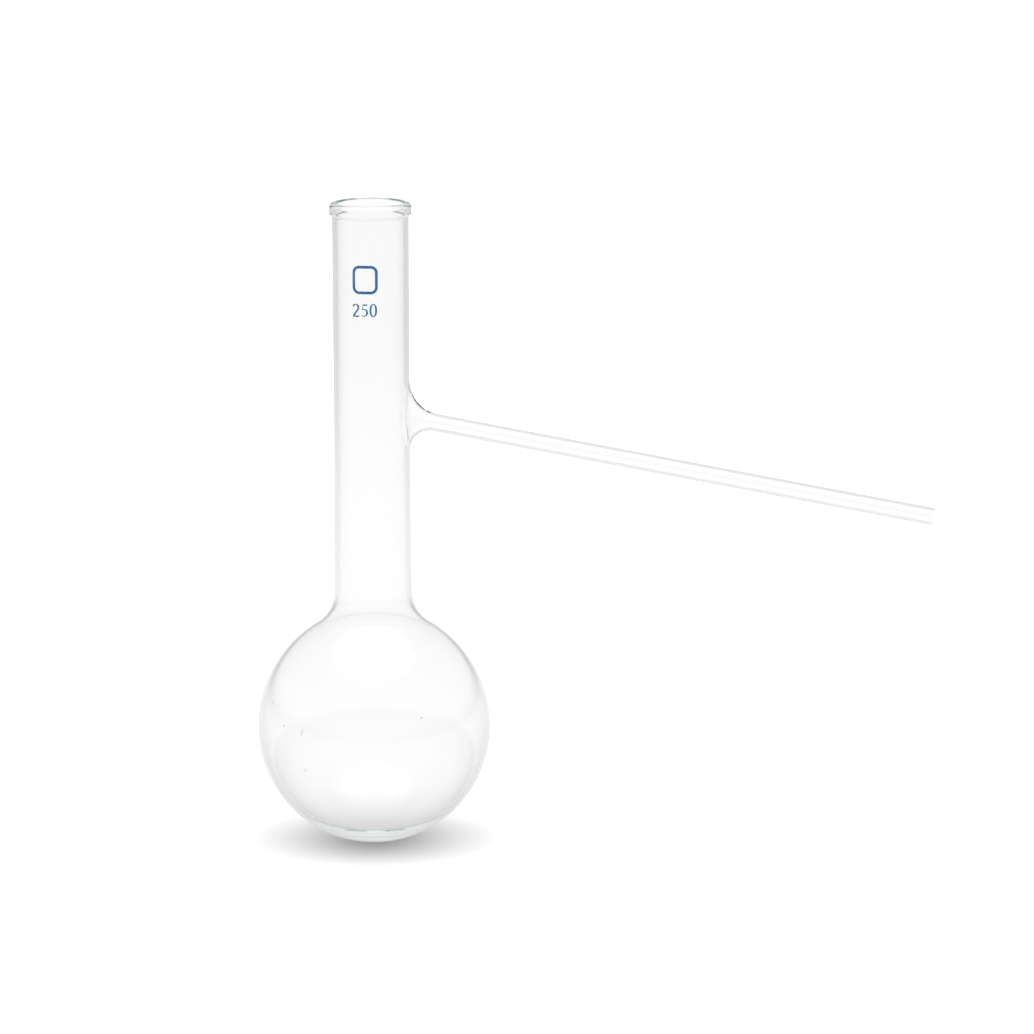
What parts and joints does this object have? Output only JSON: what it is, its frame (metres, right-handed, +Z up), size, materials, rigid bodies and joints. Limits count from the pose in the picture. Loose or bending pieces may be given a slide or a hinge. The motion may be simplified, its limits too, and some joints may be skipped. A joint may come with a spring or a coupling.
{
  "type": "distillation flask",
  "caption": "Clear glass flask with a round bulb, a long neck with a beaded mouth, and a thin side arm that slopes down from the neck to carry vapour away.",
  "frame": {"origin": "lowest point of the bulb, on the centre line of the neck", "axes": "+Z up the neck's centre line towards the mouth; +X towards the side arm's tip, level; +Y level, square to the plane that the neck and the arm lie in"},
  "size_m": [0.2463, 0.085, 0.2357],
  "materials": {
    "clear_glass": "clear, colourless, fire-polished borosilicate glass, smooth on both sides",
    "blue_enamel": "thin blue enamel print, fired on, slightly glossy"
  },
  "bodies": {
    "root": {"flask": "clear_glass"}
  },
  "joints": []
}
